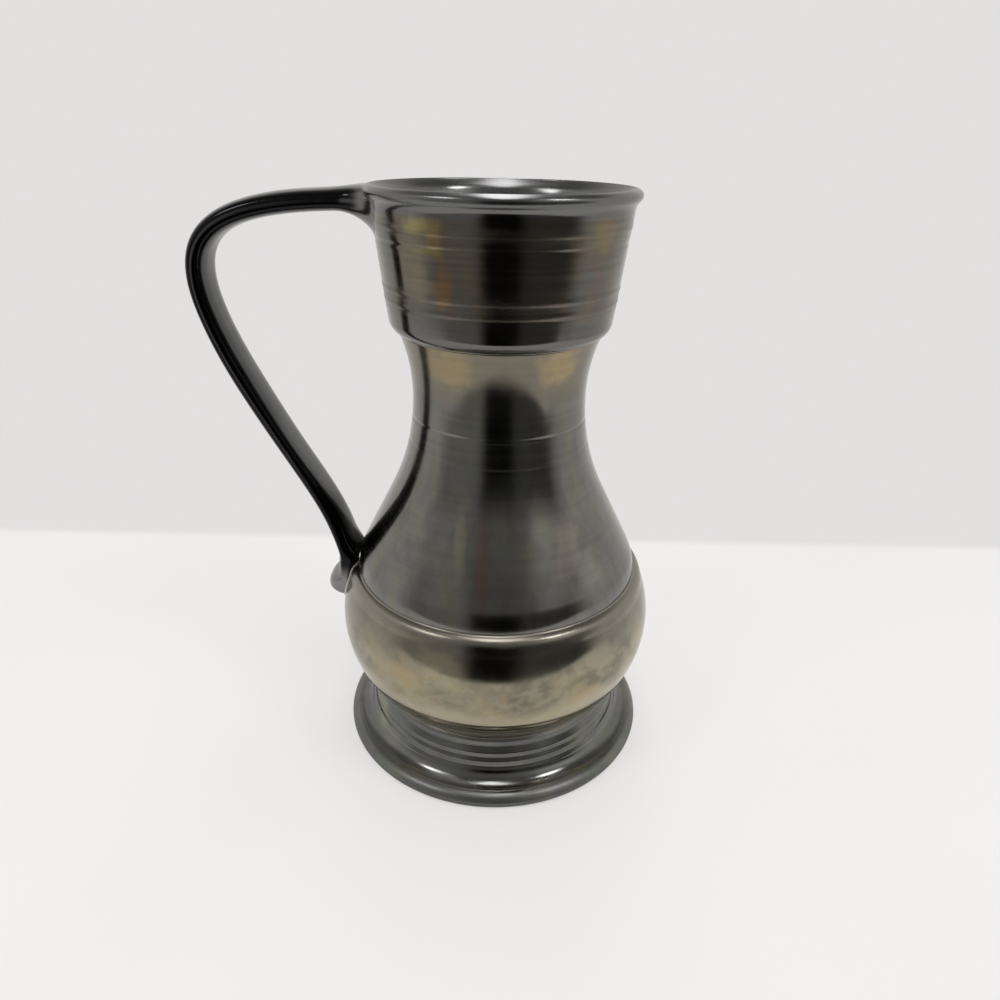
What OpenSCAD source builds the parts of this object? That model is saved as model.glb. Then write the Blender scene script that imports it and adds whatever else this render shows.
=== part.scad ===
// Baluster jug in a dark metallic lustre: four turned sections and a pulled strap handle, luted with slip.
// Millimetres, +Z up. The origin is on the jug's axis, on the table. The handle points along -X.

/* [Foot] */
// Height of the foot, from the table to the bowl
foot_h = 24; // [21.5:0.5:27]
// How far the foot's edge stands out past the bowl's widest place
foot_over = 0.1; // [0:0.1:4]
// Thickness of the flange's edge, which is rounded over
flange_t = 6.2; // [5.6:0.1:6.8]
// Rise of the flange from its edge to the cove
flange_rise = 0.3; // [0.2:0.05:0.5]
// How far the stem's top stands out past the bowl
ledge = 1.3; // [0.9:0.05:1.8]
// How much the stem widens on each side, down to the cove
stem_spread = 0.3; // [0.1:0.05:0.6]
// Radius of the cove between stem and flange, as a share of the flange's width
cove = 0.46; // [0.4:0.01:0.5]
// Height of the stem's lower turned band above the cove
low_band_up = 1.9; // [1.6:0.1:2.3]
// Gap between the stem's two turned bands
band_gap = 3.5; // [3:0.1:4]
// Width of the ring that the jug rests on, in from the flange's edge
rest_w = 9.8; // [8.4:0.1:11.5]
// Thickness of the foot's wall at the bowl
foot_wall = 10.3; // [8.8:0.1:12]
// How far the tongue on the foot lies inside the bowl's outside
tongue_in = 4.5; // [3.6:0.1:5.4]

/* [Bowl] */
// Widest diameter of the bowl
bowl_d = 125.4; // [110:0.2:140]
// Height of the bowl, from the foot to the shoulder line
bowl_h = 51.8; // [46:0.2:58]
// Radius of the bowl's round side
belly_r = 41.5; // [37:0.25:46]
// How far the shoulder line lies inside the bowl's widest place, on each side
shoulder_in = 4.8; // [4.2:0.1:5.6]
// Thickness of the bowl's floor
floor_t = 6; // [5:0.5:9]

/* [Neck] */
// Height of the shoulder and neck together, from the shoulder line to the collar
neck_h = 93.7; // [84:0.1:104]
// Diameter of the neck's narrowest place
waist_d = 63.7; // [56:0.1:71]
// Height of the narrowest place above the shoulder line
waist_up = 70.2; // [63:0.1:77]
// Radius of the neck's hollow curve, as a share of the largest that fits below its narrowest place
neck_hollow = 0.771; // [0.68:0.001:0.87]
// How much the neck widens on each side, from its narrowest place up to the collar
neck_spread = 4.63; // [4:0.01:5.3]
// How far the shoulder's lower edge is tucked in behind the bead
tuck = 1.1; // [0.9:0.05:1.3]
// Drop of the upper cut line below the neck's narrowest place
neck_line_drop = 8.3; // [6:0.1:11]
// Gap between the two cut lines on the neck
neck_line_gap = 9; // [7:0.1:11]

/* [Collar] */
// Height of the collar, from the neck to the top of the rim
collar_h = 46.5; // [41:0.5:52]
// How far the collar's foot stands out past the neck
collar_step = 1; // [0.8:0.05:1.2]
// How much the collar widens on each side, up to the rim
collar_flare = 4.35; // [3.6:0.05:5.2]
// Height of the rounded edge at the collar's foot
collar_edge_h = 3.6; // [3.2:0.1:4]
// Radius of the rounded edge at the collar's foot
collar_edge_r = 5.6; // [5:0.1:6.4]
// Height left for the hollow and the roll of the rim
rim_h = 7; // [6.6:0.1:7.6]
// How far the rim's roll stands out past the collar
rim_out = 2.4; // [2:0.05:2.8]
// Radius of the rim's roll
rim_roll_r = 2.6; // [2.4:0.05:2.8]
// Height of the lowest raised line above the collar's rounded edge
low_line_up = 7.7; // [6.6:0.1:8.8]
// Gap between the two lower raised lines
low_line_gap = 4.2; // [3.4:0.1:5]
// Drop of the upper raised line below the rim's hollow
high_line_drop = 4.4; // [3.8:0.1:5]
// Drop of the cut line below the upper raised line
cut_drop = 4.8; // [4:0.1:5.6]

/* [Handle] */
// Width of the strap
strap_w = 17.5; // [14:0.25:20]
// Thickness of the strap
strap_t = 7.4; // [6:0.1:9]
// Distance from the jug's axis to the outside of the handle
handle_reach = 108; // [98:0.5:118]
// Drop of the strap's middle below the rim, where it leaves the collar
handle_drop = 5.2; // [4.9:0.1:8]
// Drop of the handle's knee, its outermost place, below the rim
knee_drop = 31.5; // [28:0.5:38]
// Radius of the heel pressed out at the strap's lower end
heel_r = 6.2; // [5.4:0.1:7]
// Drop of the heel's middle below the shoulder line
heel_drop = 12.2; // [10.8:0.2:13.8]

/* [Clay] */
// Thickness of the walls, measured level
wall = 5.4; // [4.6:0.1:6]
// Thickness of the slip in the joints
slip_t = 0.8; // [0.5:0.1:1]
// How far the slip stands proud of the glaze beside it
slip_proud = 0.4; // [0.2:0.1:0.6]
// Thickness of the rounded bead of slip on the shoulder line
bead_t = 2.5; // [2:0.1:2.8]
// Height of the tongue that locates one section on the next
tongue_h = 2; // [1.5:0.1:2.5]
// Thickness of the tongue
tongue_t = 2; // [1.6:0.1:2.2]
// Height of the turned bands on the foot
line_h = 0.5; // [0.3:0.05:0.7]
// Height of the fine turned lines on the neck and the collar
fine_h = 0.2; // [0.1:0.05:0.3]
// Half the width of a turned line
line_w = 1.2; // [0.9:0.1:1.4]

/* [Hidden] */
$fn = 128;

glaze = [0.20, 0.19, 0.17];
dark_glaze = [0.13, 0.13, 0.12];
slip_glaze = [0.42, 0.41, 0.37];

// Heights of the joints and the rim
shoulder_z = foot_h + bowl_h;
collar_z = shoulder_z + neck_h;
rim_z = collar_z + collar_h;
waist_z = shoulder_z + waist_up;

// The bowl's round side reaches the shoulder's diameter under the bead. Its centre, as [radius, height]
bowl_top = shoulder_z - bead_t;
belly_c = [bowl_d / 2 - belly_r, bowl_top - sqrt(belly_r ^ 2 - (belly_r - shoulder_in) ^ 2)];
bowl_thin = 0.4;
belly_in_r = belly_r - wall + bowl_thin;

// Radius of the bowl's outside, then of its inside, at a height
function bowl_r(z) = belly_c[0] + sqrt(belly_r ^ 2 - (z - belly_c[1]) ^ 2);
function bowl_in_r(z) = belly_c[0] + sqrt(belly_in_r ^ 2 - (z - belly_c[1]) ^ 2);

// The shoulder runs straight from the bead to where it touches the neck's hollow curve
bead_step = 0.6;
shoulder_r = bowl_d / 2 - shoulder_in - bead_step;
shoulder_fall = shoulder_r - waist_d / 2;
low_curve_r = neck_hollow * (waist_up ^ 2 + shoulder_fall ^ 2) / (2 * shoulder_fall);
curve_c = [waist_d / 2 + low_curve_r, waist_z];
to_curve = curve_c - [shoulder_r, shoulder_z];
slope = atan2(to_curve[1], to_curve[0]) + asin(low_curve_r / norm(to_curve));
touch = [shoulder_r, shoulder_z] + sqrt(norm(to_curve) ^ 2 - low_curve_r ^ 2) * [cos(slope), sin(slope)];

// The hollow curve above the narrowest place opens to the collar
waist_to_collar = collar_z - waist_z;
high_curve_r = (waist_to_collar ^ 2 + neck_spread ^ 2) / (2 * neck_spread);

// Sag of a hollow curve of radius r at a height h from its narrowest place
function sag(r, h) = r - sqrt(r ^ 2 - h ^ 2);
function neck_r(z) =
    z < touch[1] ? shoulder_r + (touch[0] - shoulder_r) * (z - shoulder_z) / (touch[1] - shoulder_z)
    : waist_d / 2 + sag(z < waist_z ? low_curve_r : high_curve_r, z - waist_z);

// The shoulder's lower edge rounds over, to stand a little inside the bead
tuck_h = 7;
function tucked_r(z) = neck_r(z) - tuck * max(0, 1 - (z - shoulder_z) / tuck_h) ^ 2;

// The collar's wall is a cone between its rounded edge and the rim
cone_z0 = collar_z + collar_edge_h;
cone_z1 = rim_z - rim_h;
cone_a = atan(collar_flare / (cone_z1 - cone_z0));
edge_a = -asin(collar_edge_h / collar_edge_r + sin(cone_a));
collar_foot_r = neck_r(collar_z) + collar_step;
edge_c = [collar_foot_r - collar_edge_r * cos(edge_a), cone_z0 + collar_edge_r * sin(cone_a)];
cone_foot_r = edge_c[0] + collar_edge_r * cos(cone_a);
function cone_r(z) = cone_foot_r + collar_flare * (z - cone_z0) / (cone_z1 - cone_z0);

// The rim: a hollow, then the roll, with one straight line that touches both
hollow_r = 0.7 * (rim_h - rim_roll_r);
hollow_c = [cone_r(cone_z1) + hollow_r * cos(cone_a), cone_z1 - hollow_r * sin(cone_a)];
roll_c = [cone_r(cone_z1) + rim_out - rim_roll_r, rim_z - rim_roll_r];
to_roll = roll_c - hollow_c;
roll_a = atan2(to_roll[1], to_roll[0]) + acos(min(1, (hollow_r + rim_roll_r) / norm(to_roll)));

// The stem of the foot is a cone from the bowl to the cove, and the flange runs from there to the foot's edge
stem_edge_r = 0.8;
stem_top_r = bowl_r(foot_h) + ledge;
stem_base_r = stem_top_r + stem_spread;
foot_r = bowl_d / 2 + foot_over;
cove_r = cove * (foot_r - stem_base_r);
flange_top = flange_t + flange_rise;
stem_z = flange_top + cove_r;
function stem_r(z) = stem_base_r - stem_spread * (z - stem_z) / (foot_h - stem_z);
recess_r = foot_r - rest_w;
recess_top_r = stem_top_r - foot_wall;

// The flange's edge and the bead beside the cove, with one straight slope that touches both
flange_edge_r = flange_t / 2;
flange_edge_c = [foot_r - flange_edge_r, flange_edge_r];
cove_bead_c = [stem_base_r + cove_r + line_h, flange_top - line_h / 2];
to_bead = cove_bead_c - flange_edge_c;
flange_a = atan2(to_bead[1], to_bead[0]) - acos((flange_edge_r - line_h) / norm(to_bead));

// Points round an arc, from angle a to angle b
function arc(c, r, a, b, steps) =
    [for (i = [0:steps]) let (t = a + (b - a) * i / steps) c + r * [cos(t), sin(t)]];

// Points up a turned line at height z on a wall of radius f(z): a rounded ridge, or a cut where h is negative
function turned(f, z, h) =
    [for (i = [-3:3]) let (u = z + line_w * i / 3) [f(u) + h * (1 + cos(60 * i)) / 2, u]];

// Outlines of the four sections, up their outsides, as [radius, height]
foot_side = concat(
    arc(flange_edge_c, flange_edge_r, -90, flange_a, 14),
    arc(cove_bead_c, line_h, flange_a, 150, 6),
    arc([stem_base_r + cove_r, stem_z], cove_r, 262, 180, 14),
    turned(function(z) stem_r(z), stem_z + low_band_up, line_h),
    turned(function(z) stem_r(z), stem_z + low_band_up + band_gap, line_h),
    arc([stem_top_r - stem_edge_r, foot_h - stem_edge_r], stem_edge_r, 0, 90, 5));
bowl_foot_a = asin((foot_h - belly_c[1]) / belly_r);
bowl_top_a = asin((bowl_top - belly_c[1]) / belly_r);
bowl_side = arc(belly_c, belly_r, bowl_foot_a, bowl_top_a, 30);
bead_c = [bowl_r(bowl_top + bead_t / 2) + slip_proud - bead_t / 2, bowl_top + bead_t / 2];
bead_side = arc(bead_c, bead_t / 2, -20, 80, 8);
neck_line_z = waist_z - neck_line_drop;
neck_low_z = neck_line_z - neck_line_gap;
line_top = neck_line_z + line_w;
neck_side = concat(
    [for (i = [0:6]) let (z = shoulder_z + tuck_h * i / 6) [tucked_r(z), z]],
    [touch],
    [for (i = [1:7]) let (z = touch[1] + (neck_low_z - line_w - touch[1]) * i / 8) [neck_r(z), z]],
    turned(function(z) neck_r(z), neck_low_z, -fine_h),
    turned(function(z) neck_r(z), neck_line_z, -fine_h),
    [for (i = [1:12]) let (z = line_top + (collar_z - slip_t - line_top) * i / 12) [neck_r(z), z]]);
collar_out = concat(
    arc(edge_c, collar_edge_r, edge_a, -cone_a, 10),
    turned(function(z) cone_r(z), cone_z0 + low_line_up, fine_h),
    turned(function(z) cone_r(z), cone_z0 + low_line_up + low_line_gap, fine_h),
    turned(function(z) cone_r(z), cone_z1 - high_line_drop - cut_drop, -fine_h),
    turned(function(z) cone_r(z), cone_z1 - high_line_drop, fine_h),
    arc(hollow_c, hollow_r, 180 - cone_a, roll_a, 5),
    arc(roll_c, rim_roll_r, roll_a - 180, 90, 9));
collar_side = concat(collar_out, arc(roll_c, rim_roll_r, 105, 165, 5));

// Outlines of the insides, down from the rim. The collar narrows to the neck above the tongue
throat_z = collar_z + 3 * tongue_h;
collar_wall = wall - 0.8;
lip_rise = 2;
collar_in = [[cone_r(cone_z1) - collar_wall + 0.8, cone_z1 + lip_rise],
    [cone_r(cone_z1) - collar_wall, cone_z1 - lip_rise],
    [cone_r(throat_z) - collar_wall, throat_z], [neck_r(collar_z) - wall, collar_z]];
neck_in = [for (i = [0:14]) let (z = collar_z - (collar_z - shoulder_z) * i / 14)
    [i == 14 ? bowl_in_r(shoulder_z) : neck_r(z) - wall, z]];
floor_z = foot_h + floor_t;
bowl_in = arc(belly_c, belly_in_r, asin((shoulder_z - belly_c[1]) / belly_in_r),
    asin((floor_z - belly_c[1]) / belly_in_r), 20);

// Middle radius of the wall at each joint, where the tongue stands
foot_joint_r = bowl_r(foot_h) - tongue_in;
shoulder_joint_r = (bowl_in_r(shoulder_z) + shoulder_r) / 2;
collar_joint_r = neck_r(collar_z) - wall / 2;

// A tongue on the lower section, standing up from height z, which is cut out of the upper section
module tongue(r, z) {
    translate([r - tongue_t / 2, z])
        square([tongue_t, tongue_h]);
}

// The room for a ring of slip of thickness t above height z, from the tongue outwards
module slip_room(r, z, t) {
    translate([r + tongue_t / 2, z])
        square([foot_r, t]);
}

// One ring of slip, rounded where it stands proud of the outside radius
module slip_ring(r, out, z, t) {
    edge = out + slip_proud - t / 2;
    rotate_extrude()
        union() {
            translate([r + tongue_t / 2, z])
                square([edge - r - tongue_t / 2, t]);
            translate([edge, z + t / 2])
                circle(t / 2);
        }
}

module foot() {
    color(dark_glaze)
        rotate_extrude()
            union() {
                polygon(concat([[recess_r, 0]], foot_side, [[recess_top_r, foot_h]]));
                tongue(foot_joint_r, foot_h);
            }
}

module bowl() {
    color(glaze)
        rotate_extrude()
            union() {
                difference() {
                    polygon(concat(
                        [[0, foot_h]], bowl_side, [[shoulder_r, shoulder_z]], bowl_in, [[0, floor_z]]));
                    tongue(foot_joint_r, foot_h);
                    slip_room(foot_joint_r, foot_h, slip_t);
                    slip_room(shoulder_joint_r, bowl_top, bead_t);
                }
                tongue(shoulder_joint_r, shoulder_z);
            }
}

module neck() {
    color(glaze)
        rotate_extrude()
            union() {
                difference() {
                    polygon(concat(neck_side, [[neck_r(collar_z), collar_z]], neck_in));
                    tongue(shoulder_joint_r, shoulder_z);
                    slip_room(collar_joint_r, collar_z - slip_t, slip_t);
                }
                tongue(collar_joint_r, collar_z);
            }
}

module collar() {
    color(glaze)
        rotate_extrude()
            difference() {
                polygon(concat(collar_side, collar_in));
                tongue(collar_joint_r, collar_z);
            }
}

module foot_slip() {
    color(slip_glaze)
        slip_ring(foot_joint_r, bowl_r(foot_h + slip_t), foot_h, slip_t);
}

module shoulder_slip() {
    color(slip_glaze)
        slip_ring(shoulder_joint_r, bowl_r(bowl_top + bead_t / 2), bowl_top, bead_t);
}

module collar_slip() {
    color(slip_glaze)
        slip_ring(collar_joint_r, neck_r(collar_z), collar_z - slip_t, slip_t);
}

// The strap's middle line, as [x, z]: out from the collar, over the knee and down to the shoulder line
strap_top = [-cone_r(rim_z - handle_drop), rim_z - handle_drop];
knee = [-handle_reach + strap_t / 2, rim_z - knee_drop];
strap_sink = 0.6;
heel_out = 1;
strap_foot = [-shoulder_r - strap_t / 2 + strap_sink, shoulder_z + 1];
heel = [-bowl_r(shoulder_z - heel_drop) - heel_out, shoulder_z - heel_drop];
top_pull = [strap_top[0] + 0.7 * (knee[0] - strap_top[0]), strap_top[1] + 0.7];
knee_pull = 0.85 * (strap_top[1] - knee[1]);
back_pull = 0.29 * (knee[1] - strap_foot[1]);

function bezier(p, t) =
    (1 - t) ^ 3 * p[0] + 3 * t * (1 - t) ^ 2 * p[1] + 3 * t ^ 2 * (1 - t) * p[2] + t ^ 3 * p[3];
over = [strap_top, top_pull, knee + [0, knee_pull], knee];
down = [knee, knee - [0, back_pull], strap_foot + [0, back_pull], strap_foot];
over_steps = 26;
down_steps = 34;
path = concat(
    [strap_top + [2 * wall, 0]],
    [for (i = [0:over_steps]) bezier(over, i / over_steps)],
    [for (i = [1:down_steps]) bezier(down, i / down_steps)],
    [(strap_foot + heel) / 2, heel]);
last = len(path) - 1;

// How the strap is drawn out at its two ends: wider on each side, and deeper on its inner side
top_spread = 4.5;
foot_spread = 1.8;
top_web = 1.3 * strap_t;
foot_web = 1.28 * strap_t;

// How near a place on the strap is to the collar, then to its lower end: 1 at the end, 0 once clear of it
function near_top(p) = max(0, 1 - max(0, strap_top[0] - p[0]) / (1.7 * strap_t)) ^ 2.5;
function near_foot(p, reach) = max(0, 1 - max(0, p[1] - strap_foot[1]) / reach) ^ 2;

// One section of the strap at place i, grown by g: a flattened oval, drawn out where it meets the jug
sides = 32;
oval = 0.6;
function pinch(a) = sign(a) * abs(a) ^ oval;
function section(i, g) =
    let (p = path[i], d = path[min(i + 1, last)] - path[max(i - 1, 0)], n = [-d[1], d[0]] / norm(d))
    let (half_w = strap_w / 2 + top_spread * near_top(p) + foot_spread * near_foot(p, 4 * strap_t) + g)
    let (web = max(top_web * near_top(p), foot_web * near_foot(p, 1.5 * strap_t)))
    [for (k = [0:sides - 1]) let (c = pinch(cos(360 * k / sides)), s = pinch(sin(360 * k / sides)))
        let (half_t = strap_t / 2 + g + (c > 0 ? web : 0))
        [p[0] + n[0] * half_t * c, half_w * s, p[1] + n[1] * half_t * c]];

// The strap between two places on its path, closed at both ends
module strap(first, final, g) {
    count = final - first;
    points = [for (i = [first:final]) each section(i, g)];
    walls = [for (i = [0:count - 1], k = [0:sides - 1], h = [0, 1])
        let (a = i * sides + k, b = i * sides + (k + 1) % sides)
        h == 0 ? [a, b, b + sides] : [a, b + sides, a + sides]];
    polyhedron(points, concat(walls,
        [[for (k = [0:sides - 1]) sides - 1 - k], [for (k = [0:sides - 1]) count * sides + k]]));
}

// The solid jug without its handle, grown by g, which the strap's ends are trimmed to
module jug_form(g) {
    rotate_extrude()
        polygon(concat(
            [[0, foot_h]], [for (p = concat(bowl_side, bead_side, neck_side)) p + [g, 0]], [[0, collar_z]]));
}

module collar_form(g) {
    rotate_extrude()
        polygon(concat([[0, collar_z]], [for (p = collar_out) p + [g, 0]], [[0, rim_z]]));
}

module heel_lobe(g) {
    translate([heel[0], 0, heel[1]])
        sphere(heel_r + g);
}

module handle() {
    color(dark_glaze)
        difference() {
            union() {
                strap(0, last, 0);
                heel_lobe(0);
            }
            jug_form(slip_t);
            collar_form(slip_t);
        }
}

module upper_handle_slip() {
    color(slip_glaze)
        intersection() {
            strap(0, 4, slip_proud);
            difference() {
                collar_form(slip_t);
                collar_form(0);
            }
        }
}

module lower_handle_slip() {
    color(slip_glaze)
        intersection() {
            union() {
                strap(last - 16, last, slip_proud);
                heel_lobe(slip_proud);
            }
            difference() {
                jug_form(slip_t);
                jug_form(0);
                shoulder_slip();
            }
        }
}

foot();
bowl();
neck();
collar();
handle();
foot_slip();
shoulder_slip();
collar_slip();
upper_handle_slip();
lower_handle_slip();
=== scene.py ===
import math

import bmesh
import bpy
from mathutils import Matrix, Vector


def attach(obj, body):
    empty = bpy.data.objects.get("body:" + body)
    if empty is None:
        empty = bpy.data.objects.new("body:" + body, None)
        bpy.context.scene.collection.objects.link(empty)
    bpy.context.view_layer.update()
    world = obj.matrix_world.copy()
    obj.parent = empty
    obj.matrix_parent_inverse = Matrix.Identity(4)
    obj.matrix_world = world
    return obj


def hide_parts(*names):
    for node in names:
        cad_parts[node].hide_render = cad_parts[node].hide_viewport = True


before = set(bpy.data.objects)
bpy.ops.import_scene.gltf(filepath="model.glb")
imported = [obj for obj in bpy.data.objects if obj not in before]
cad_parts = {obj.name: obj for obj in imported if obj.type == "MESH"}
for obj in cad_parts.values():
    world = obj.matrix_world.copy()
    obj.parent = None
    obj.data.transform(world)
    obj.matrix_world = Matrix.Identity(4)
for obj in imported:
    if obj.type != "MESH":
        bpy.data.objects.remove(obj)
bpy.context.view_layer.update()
print("frame loaded with", len(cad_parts), "clay pieces")

mm = 0.001
scene = bpy.context.scene
scene.view_settings.view_transform = "Standard"


# small helpers for node trees: a value that is a socket gets linked, anything else is set
def put(tree, kind, inputs=None, **props):
    node = tree.nodes.new(kind)
    for key, value in props.items():
        setattr(node, key, value)
    for key, value in (inputs or {}).items():
        if isinstance(value, bpy.types.NodeSocket):
            tree.links.new(value, node.inputs[key])
        else:
            node.inputs[key].default_value = value
    return node


# the first output of a new node
def made(tree, kind, inputs=None, **props):
    return put(tree, kind, inputs, **props).outputs[0]


def calc(tree, operation, a, b=0.0, c=0.0):
    return made(tree, "ShaderNodeMath", {0: a, 1: b, 2: c}, operation=operation)


def vec(tree, operation, a, b=(0.0, 0.0, 0.0)):
    return made(tree, "ShaderNodeVectorMath", {0: a, 1: b}, operation=operation)


def smooth(tree, value, low, high, bottom=0.0, top=1.0):
    node = put(tree, "ShaderNodeMapRange", {0: value, 1: low, 2: high, 3: bottom, 4: top})
    node.interpolation_type = "SMOOTHSTEP"
    return node.outputs[0]


def blendColour(tree, amount, a, b, way="MIX"):
    node = put(tree, "ShaderNodeMix", {0: amount, 6: a, 7: b}, data_type="RGBA", blend_type=way)
    return node.outputs[2]


# part of the way from one value to another
def between(tree, share, a, b):
    rest = calc(tree, "MULTIPLY", a, calc(tree, "SUBTRACT", 1.0, share))
    return calc(tree, "ADD", rest, calc(tree, "MULTIPLY", share, b))


def noise(tree, place, scale, detail, rough=0.5):
    return made(tree, "ShaderNodeTexNoise", {
        "Vector": place, "Scale": scale, "Detail": detail, "Roughness": rough})


def ownPlace(tree):
    return put(tree, "ShaderNodeTexCoord").outputs["Object"]


def axes(tree, value):
    return put(tree, "ShaderNodeSeparateXYZ", {0: value}).outputs


def attribute(tree, name):
    return put(tree, "ShaderNodeAttribute", attribute_name=name).outputs["Fac"]


def position(tree):
    return made(tree, "GeometryNodeInputPosition")


def circle(tree, steps, radius):
    return made(tree, "GeometryNodeCurvePrimitiveCircle", {"Resolution": steps, "Radius": radius})


def scaled(tree, direction, size):
    return made(tree, "ShaderNodeVectorMath", {0: direction, "Scale": size}, operation="SCALE")


# the last nodes of each geometry tree: a plain mesh with its glaze on
def glazeForm(tree, form, given, out):
    real = made(tree, "GeometryNodeRealizeInstances", {"Geometry": form})
    glazed = made(tree, "GeometryNodeSetMaterial", {"Geometry": real, "Material": given["Glaze"]})
    tree.links.new(glazed, out["Piece"])


def openGroup(name, kind, inputs, outputs):
    tree = bpy.data.node_groups.new(name, kind)
    for label, socketType, value in inputs:
        socket = tree.interface.new_socket(label, in_out="INPUT", socket_type="NodeSocket" + socketType)
        if value is not None:
            socket.default_value = value
    for label, socketType in outputs:
        tree.interface.new_socket(label, in_out="OUTPUT", socket_type="NodeSocket" + socketType)
    return tree, tree.nodes.new("NodeGroupInput").outputs, tree.nodes.new("NodeGroupOutput").inputs


# runs a geometry tree on an object and keeps the result as a plain mesh
def bake(name, data, tree, settings):
    maker = bpy.data.objects.new(name + "Maker", data)
    scene.collection.objects.link(maker)
    mod = maker.modifiers.new("make", "NODES")
    mod.node_group = tree
    names = {i.name: i.identifier for i in tree.interface.items_tree if i.in_out == "INPUT"}
    for label, value in settings.items():
        mod[names[label]] = value
    graph = bpy.context.evaluated_depsgraph_get()
    mesh = bpy.data.meshes.new_from_object(maker.evaluated_get(graph))
    maker.modifiers.remove(mod)
    bpy.data.objects.remove(maker)
    form = bmesh.new()
    form.from_mesh(mesh)
    bmesh.ops.remove_doubles(form, verts=form.verts, dist=1e-6)
    bmesh.ops.dissolve_degenerate(form, dist=1e-7, edges=form.edges)
    bmesh.ops.recalc_face_normals(form, faces=form.faces)
    for face in form.faces:
        face.smooth = True
    form.to_mesh(mesh)
    form.free()
    mesh.name = name
    piece = bpy.data.objects.new(name, mesh)
    scene.collection.objects.link(piece)
    return piece


def settle(piece, node):
    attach(piece, "root")
    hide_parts(node)
    print(piece.name, "stands for", node, "with", len(piece.data.polygons), "faces")


# the last nodes of a colour group: its tone laid over the ground through a mask
def layTone(tree, given, out, mask, tone):
    amount = calc(tree, "MULTIPLY", mask, given["Amount"])
    tree.links.new(blendColour(tree, amount, given["Ground"], given[tone]), out["Colour"])
    tree.links.new(amount, out["Mask"])
    return tree


# lustre: patches of colour that run down the wall, on the piece's own coordinates
def makeBloomGroup():
    tree, given, out = openGroup("lustreBloom", "ShaderNodeTree", [
        ("Ground", "Color", (0.19, 0.187, 0.17, 1)),
        ("Bloom", "Color", (0.3, 0.24, 0.13, 1)),
        ("Amount", "Float", 0.5),
        ("Scale", "Float", 40.0),
        ("Run", "Float", 0.4),  # below 1 the patches are drawn out up and down
        ("Shift", "Float", 0.0),
    ], [("Colour", "Color"), ("Mask", "Float")])
    place = ownPlace(tree)
    stretch = made(tree, "ShaderNodeCombineXYZ", {0: 1.0, 1: 1.0, 2: given["Run"]})
    shift = made(tree, "ShaderNodeCombineXYZ", {i: given["Shift"] for i in range(3)})
    spot = vec(tree, "ADD", vec(tree, "MULTIPLY", place, stretch), shift)
    broad = noise(tree, spot, given["Scale"], detail=3.0, rough=0.55)
    return layTone(tree, given, out, smooth(tree, broad, 0.42, 0.66), "Bloom")


# a level band of another tone, with a wavering feathered edge
def makeBandGroup():
    tree, given, out = openGroup("glazeAndShadeBand", "ShaderNodeTree", [
        ("Ground", "Color", (0.2, 0.2, 0.2, 1)),
        ("Band", "Color", (0.3, 0.25, 0.15, 1)),
        ("Amount", "Float", 1.0),
        ("Bottom", "Float", 0.0),
        ("Top", "Float", 0.1),
        ("Feather", "Float", 0.006),
        ("Waver", "Float", 0.006),
    ], [("Colour", "Color"), ("Mask", "Float")])
    place = ownPlace(tree)
    height = axes(tree, place)[2]
    drift = noise(tree, place, scale=35.0, detail=2.0)
    level = calc(tree, "MULTIPLY_ADD", calc(tree, "SUBTRACT", drift, 0.5), given["Waver"], height)
    bottom, top, feather = given["Bottom"], given["Top"], given["Feather"]
    rise = smooth(tree, level, calc(tree, "SUBTRACT", bottom, feather), calc(tree, "ADD", bottom, feather))
    fall = smooth(
        tree, level, calc(tree, "SUBTRACT", top, feather), calc(tree, "ADD", top, feather), 1.0, 0.0)
    return layTone(tree, given, out, calc(tree, "MULTIPLY", rise, fall), "Band")


# one ragged patch of another tone at a place of its own
def makePatchGroup():
    tree, given, out = openGroup("lustrePatch", "ShaderNodeTree", [
        ("Ground", "Color", (0.2, 0.2, 0.2, 1)),
        ("Patch", "Color", (0.3, 0.25, 0.15, 1)),
        ("Amount", "Float", 1.0),
        ("Middle", "Vector", (0.0, 0.0, 0.0)),
        ("Size", "Vector", (0.01, 0.01, 0.01)),
        ("Ragged", "Float", 1.6),
    ], [("Colour", "Color"), ("Mask", "Float")])
    place = ownPlace(tree)
    away = vec(tree, "DIVIDE", vec(tree, "SUBTRACT", place, given["Middle"]), given["Size"])
    far = put(tree, "ShaderNodeVectorMath", {0: away}, operation="LENGTH").outputs["Value"]
    torn = noise(tree, place, scale=130.0, detail=3.0)
    level = calc(tree, "MULTIPLY_ADD", calc(tree, "SUBTRACT", torn, 0.5), given["Ragged"], far)
    return layTone(tree, given, out, smooth(tree, level, 0.35, 1.05, 1.0, 0.0), "Patch")


# fine level lines left by the rib on the wheel, and the slight orange peel of the glaze
def makeWheelGroup():
    tree, given, out = openGroup("wheelMarks", "ShaderNodeTree", [
        ("Lines", "Float", 700.0),
        ("Line Depth", "Float", 1.0),
        ("Peel", "Float", 300.0),
        ("Peel Depth", "Float", 0.2),
    ], [("Height", "Float"), ("Grain", "Float")])
    place = ownPlace(tree)
    flat = vec(tree, "MULTIPLY", place, (0.02, 0.02, 1.0))
    lines = noise(tree, flat, given["Lines"], detail=2.0, rough=0.6)
    peel = noise(tree, place, given["Peel"], detail=1.0)
    peeled = calc(tree, "MULTIPLY", peel, given["Peel Depth"])
    height = calc(tree, "MULTIPLY_ADD", lines, given["Line Depth"], peeled)
    tree.links.new(height, out["Height"])
    tree.links.new(lines, out["Grain"])
    return tree


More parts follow.
